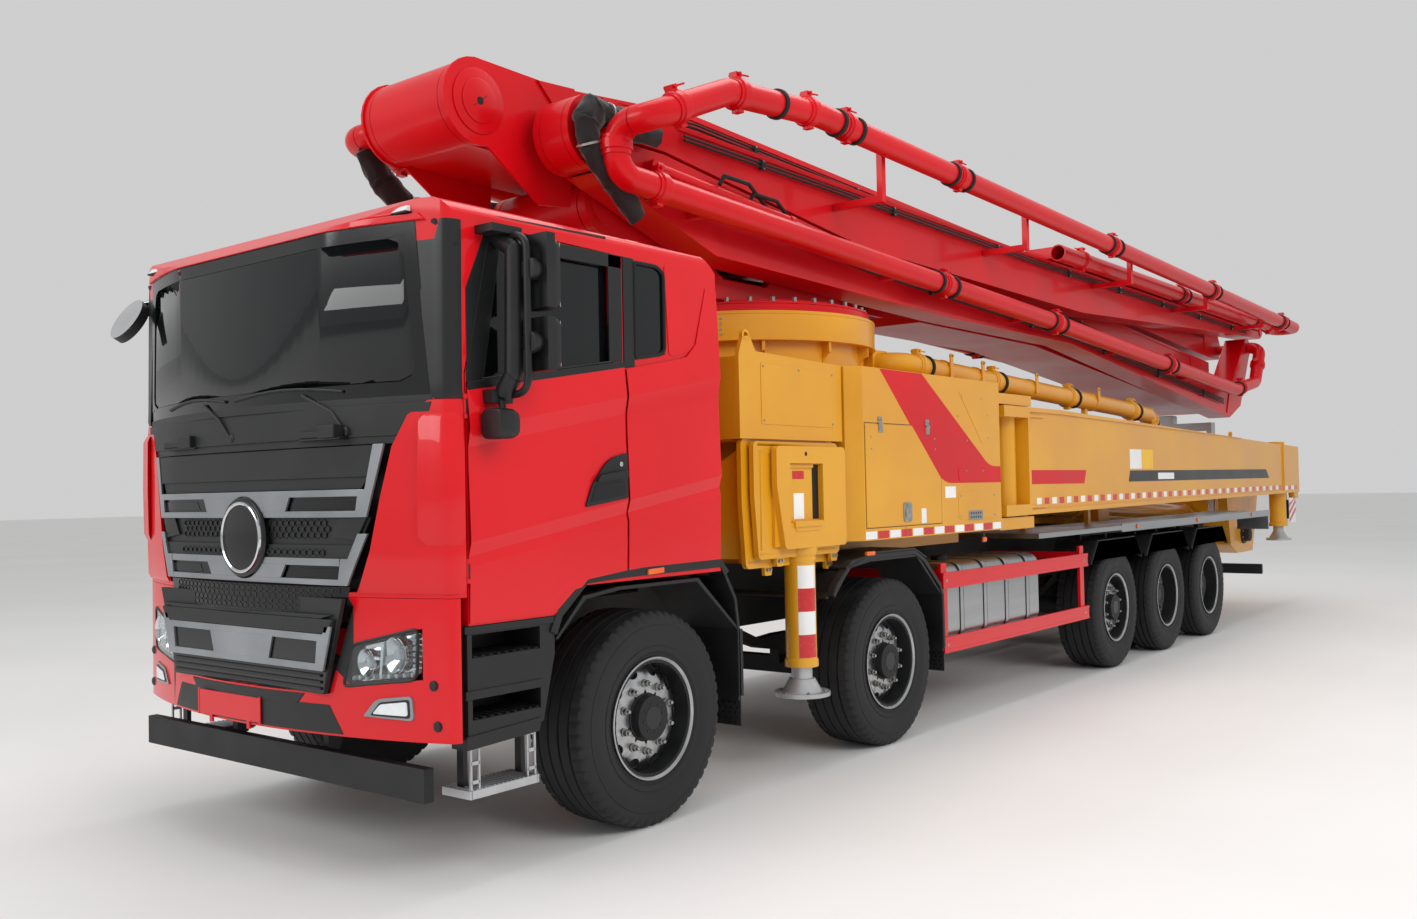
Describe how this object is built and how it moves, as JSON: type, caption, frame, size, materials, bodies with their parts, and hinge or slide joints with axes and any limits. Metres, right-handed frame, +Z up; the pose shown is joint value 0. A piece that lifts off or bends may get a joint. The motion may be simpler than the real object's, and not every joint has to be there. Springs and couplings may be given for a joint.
{
  "type": "concrete pump truck",
  "caption": "Truck-mounted concrete pump: rolling carrier with cab, slewing folding boom with delivery pipe, telescopic and swinging outriggers, and rear hopper.",
  "frame": {"origin": "on the ground under the middle of the truck's overall box", "axes": "+Z up, +X to the vehicle's left, +Y to the rear"},
  "size_m": [3, 14.9249, 4.05],
  "materials": {
    "red_paint": "gloss",
    "yellow_paint": "gloss",
    "black_steel": "satin",
    "black_plastic": "matt",
    "glass": "clear",
    "lamp": "clear",
    "trim": "matt",
    "aluminium": "brushed",
    "tyre": "matt",
    "cast": "rough",
    "chrome": "polished"
  },
  "bodies": {
    "chassis": {"chassis_frame": "black_steel", "axles": "cast", "cab_shell": "red_paint", "cab_glass": "glass", "front_grille": "black_plastic", "bumper": "red_paint", "headlamps": "lamp", "cab_interior": "trim", "steps_mudguards": "black_plastic", "side_guards": "red_paint", "outrigger_frame": "yellow_paint", "deck_and_tanks": "aluminium", "pump_unit": "yellow_paint", "hopper": "yellow_paint"},
    "knuckle_1_left": {"knuckle_1_left": "cast"},
    "wheel_1_left": {"tyre_1_left": "tyre", "rim_1_left": "aluminium"},
    "knuckle_1_right": {"knuckle_1_right": "cast"},
    "wheel_1_right": {"tyre_1_right": "tyre", "rim_1_right": "aluminium"},
    "knuckle_2_left": {"knuckle_2_left": "cast"},
    "wheel_2_left": {"tyre_2_left": "tyre", "rim_2_left": "aluminium"},
    "knuckle_2_right": {"knuckle_2_right": "cast"},
    "wheel_2_right": {"tyre_2_right": "tyre", "rim_2_right": "aluminium"},
    "wheel_3_left": {"tyre_3_left": "tyre", "rim_3_left": "aluminium"},
    "wheel_3_right": {"tyre_3_right": "tyre", "rim_3_right": "aluminium"},
    "wheel_4_left": {"tyre_4_left": "tyre", "rim_4_left": "aluminium"},
    "wheel_4_right": {"tyre_4_right": "tyre", "rim_4_right": "aluminium"},
    "wheel_5_left": {"tyre_5_left": "tyre", "rim_5_left": "aluminium"},
    "wheel_5_right": {"tyre_5_right": "tyre", "rim_5_right": "aluminium"},
    "door_left": {"door_left": "red_paint"},
    "door_right": {"door_right": "red_paint"},
    "front_leg_left": {"front_leg_left": "yellow_paint"},
    "front_arm_left": {"front_arm_left": "yellow_paint"},
    "front_jack_left": {"front_jack_left": "chrome"},
    "rear_leg_left": {"rear_leg_left": "yellow_paint"},
    "rear_jack_left": {"rear_jack_left": "chrome"},
    "front_leg_right": {"front_leg_right": "yellow_paint"},
    "front_arm_right": {"front_arm_right": "yellow_paint"},
    "front_jack_right": {"front_jack_right": "chrome"},
    "rear_leg_right": {"rear_leg_right": "yellow_paint"},
    "rear_jack_right": {"rear_jack_right": "chrome"},
    "hopper_lid": {"hopper_lid": "black_steel"},
    "turret": {"turret": "red_paint"},
    "boom_1": {"boom_1": "red_paint"},
    "boom_2": {"boom_2": "red_paint"},
    "boom_3": {"boom_3": "red_paint"},
    "boom_4": {"boom_4": "red_paint"},
    "boom_5": {"boom_5": "red_paint"},
    "boom_6": {"boom_6": "red_paint"},
    "lift_barrel": {"lift_barrel": "red_paint"},
    "lift_rod": {"lift_rod": "chrome"}
  },
  "joints": [
    {"name": "steer_1_left", "type": "hinge", "parent": "chassis", "child": "knuckle_1_left", "pos_m": [0.9, -5.975, 0.53], "axis": [0, 0, 1], "range_deg": [-32, 32]},
    {"name": "spin_1_left", "type": "hinge", "parent": "knuckle_1_left", "child": "wheel_1_left", "pos_m": [1.06, -5.975, 0.53], "axis": [1, 0, 0], "continuous": true},
    {"name": "steer_1_right", "type": "hinge", "parent": "chassis", "child": "knuckle_1_right", "pos_m": [-0.9, -5.975, 0.53], "axis": [0, 0, 1], "range_deg": [-32, 32]},
    {"name": "spin_1_right", "type": "hinge", "parent": "knuckle_1_right", "child": "wheel_1_right", "pos_m": [-1.06, -5.975, 0.53], "axis": [1, 0, 0], "continuous": true},
    {"name": "steer_2_left", "type": "hinge", "parent": "chassis", "child": "knuckle_2_left", "pos_m": [0.9, -3.675, 0.53], "axis": [0, 0, 1], "range_deg": [-32, 32]},
    {"name": "spin_2_left", "type": "hinge", "parent": "knuckle_2_left", "child": "wheel_2_left", "pos_m": [1.06, -3.675, 0.53], "axis": [1, 0, 0], "continuous": true},
    {"name": "steer_2_right", "type": "hinge", "parent": "chassis", "child": "knuckle_2_right", "pos_m": [-0.9, -3.675, 0.53], "axis": [0, 0, 1], "range_deg": [-32, 32]},
    {"name": "spin_2_right", "type": "hinge", "parent": "knuckle_2_right", "child": "wheel_2_right", "pos_m": [-1.06, -3.675, 0.53], "axis": [1, 0, 0], "continuous": true},
    {"name": "spin_3_left", "type": "hinge", "parent": "chassis", "child": "wheel_3_left", "pos_m": [1.06, 0.275, 0.53], "axis": [1, 0, 0], "continuous": true},
    {"name": "spin_3_right", "type": "hinge", "parent": "chassis", "child": "wheel_3_right", "pos_m": [-1.06, 0.275, 0.53], "axis": [1, 0, 0], "continuous": true},
    {"name": "spin_4_left", "type": "hinge", "parent": "chassis", "child": "wheel_4_left", "pos_m": [1.06, 1.645, 0.53], "axis": [1, 0, 0], "continuous": true},
    {"name": "spin_4_right", "type": "hinge", "parent": "chassis", "child": "wheel_4_right", "pos_m": [-1.06, 1.645, 0.53], "axis": [1, 0, 0], "continuous": true},
    {"name": "spin_5_left", "type": "hinge", "parent": "chassis", "child": "wheel_5_left", "pos_m": [1.06, 2.985, 0.53], "axis": [1, 0, 0], "continuous": true},
    {"name": "spin_5_right", "type": "hinge", "parent": "chassis", "child": "wheel_5_right", "pos_m": [-1.06, 2.985, 0.53], "axis": [1, 0, 0], "continuous": true},
    {"name": "door_left_hinge", "type": "hinge", "parent": "chassis", "child": "door_left", "pos_m": [1.25, -7.163, 1.9], "axis": [0, 0, -1], "range_deg": [0, 70]},
    {"name": "door_right_hinge", "type": "hinge", "parent": "chassis", "child": "door_right", "pos_m": [-1.25, -7.163, 1.9], "axis": [0, 0, 1], "range_deg": [0, 70]},
    {"name": "front_leg_left_out", "type": "slide", "parent": "chassis", "child": "front_leg_left", "axis": [1, 0, 0], "range_m": [0, 0.7]},
    {"name": "front_arm_left_out", "type": "slide", "parent": "front_leg_left", "child": "front_arm_left", "axis": [1, 0, 0], "range_m": [0, 0.7]},
    {"name": "front_jack_left_down", "type": "slide", "parent": "front_arm_left", "child": "front_jack_left", "axis": [0, 0, -1], "range_m": [0, 0.43]},
    {"name": "rear_leg_left_swing", "type": "hinge", "parent": "chassis", "child": "rear_leg_left", "pos_m": [1.095, -1.655, 1.82], "axis": [0, 0, -1], "range_deg": [0, 60]},
    {"name": "rear_jack_left_down", "type": "slide", "parent": "rear_leg_left", "child": "rear_jack_left", "axis": [0, 0, -1], "range_m": [0, 0.85]},
    {"name": "front_leg_right_out", "type": "slide", "parent": "chassis", "child": "front_leg_right", "axis": [-1, 0, 0], "range_m": [0, 0.7]},
    {"name": "front_arm_right_out", "type": "slide", "parent": "front_leg_right", "child": "front_arm_right", "axis": [-1, 0, 0], "range_m": [0, 0.7]},
    {"name": "front_jack_right_down", "type": "slide", "parent": "front_arm_right", "child": "front_jack_right", "axis": [0, 0, -1], "range_m": [0, 0.43]},
    {"name": "rear_leg_right_swing", "type": "hinge", "parent": "chassis", "child": "rear_leg_right", "pos_m": [-1.095, -1.655, 1.82], "axis": [0, 0, 1], "range_deg": [0, 60]},
    {"name": "rear_jack_right_down", "type": "slide", "parent": "rear_leg_right", "child": "rear_jack_right", "axis": [0, 0, -1], "range_m": [0, 0.85]},
    {"name": "hopper_lid_hinge", "type": "hinge", "parent": "chassis", "child": "hopper_lid", "pos_m": [0, 5.86, 1.45], "axis": [1, 0, 0], "range_deg": [0, 75]},
    {"name": "slew", "type": "hinge", "parent": "chassis", "child": "turret", "pos_m": [0, -3.535, 2.84], "axis": [0, 0, 1], "range_deg": [-185, 185]},
    {"name": "boom_raise", "type": "hinge", "parent": "turret", "child": "boom_1", "pos_m": [0, -5.375, 3.3], "axis": [1, 0, 0], "range_deg": [0, 90]},
    {"name": "fold_12", "type": "hinge", "parent": "boom_1", "child": "boom_2", "pos_m": [0, 6.275, 2.85], "axis": [-1, 0, 0], "range_deg": [0, 180]},
    {"name": "fold_23", "type": "hinge", "parent": "boom_2", "child": "boom_3", "pos_m": [0, -6.275, 3.71], "axis": [1, 0, 0], "range_deg": [0, 180]},
    {"name": "fold_34", "type": "hinge", "parent": "boom_3", "child": "boom_4", "pos_m": [0, 6.725, 3.38], "axis": [-1, 0, 0], "range_deg": [0, 180]},
    {"name": "fold_45", "type": "hinge", "parent": "boom_4", "child": "boom_5", "pos_m": [0, -5.775, 3.59], "axis": [1, 0, 0], "range_deg": [0, 180]},
    {"name": "fold_56", "type": "hinge", "parent": "boom_5", "child": "boom_6", "pos_m": [0, 7.375, 3.66], "axis": [-1, 0, 0], "range_deg": [0, 180]},
    {"name": "lift_barrel_swing", "type": "hinge", "parent": "turret", "child": "lift_barrel", "pos_m": [0, -4.125, 3.02], "axis": [1, 0, 0], "range_deg": [0, 105]},
    {"name": "lift_rod_out", "type": "slide", "parent": "lift_barrel", "child": "lift_rod", "axis": [0, 0.9995, 0.0311], "range_m": [0, 1.679]}
  ],
  "couplings": [
    {"joint": "steer_1_right", "follows": "steer_1_left", "ratio": 0.85},
    {"joint": "steer_2_left", "follows": "steer_1_left", "ratio": 0.7},
    {"joint": "steer_2_right", "follows": "steer_1_left", "ratio": 0.62},
    {"joint": "front_arm_left_out", "follows": "front_leg_left_out", "ratio": 1},
    {"joint": "front_arm_right_out", "follows": "front_leg_right_out", "ratio": 1},
    {"joint": "fold_12", "follows": "boom_raise", "ratio": 2},
    {"joint": "lift_barrel_swing", "follows": "boom_raise", "ratio": 1.1511},
    {"joint": "lift_rod_out", "follows": "boom_raise", "m_per_rad": 1.0628}
  ]
}
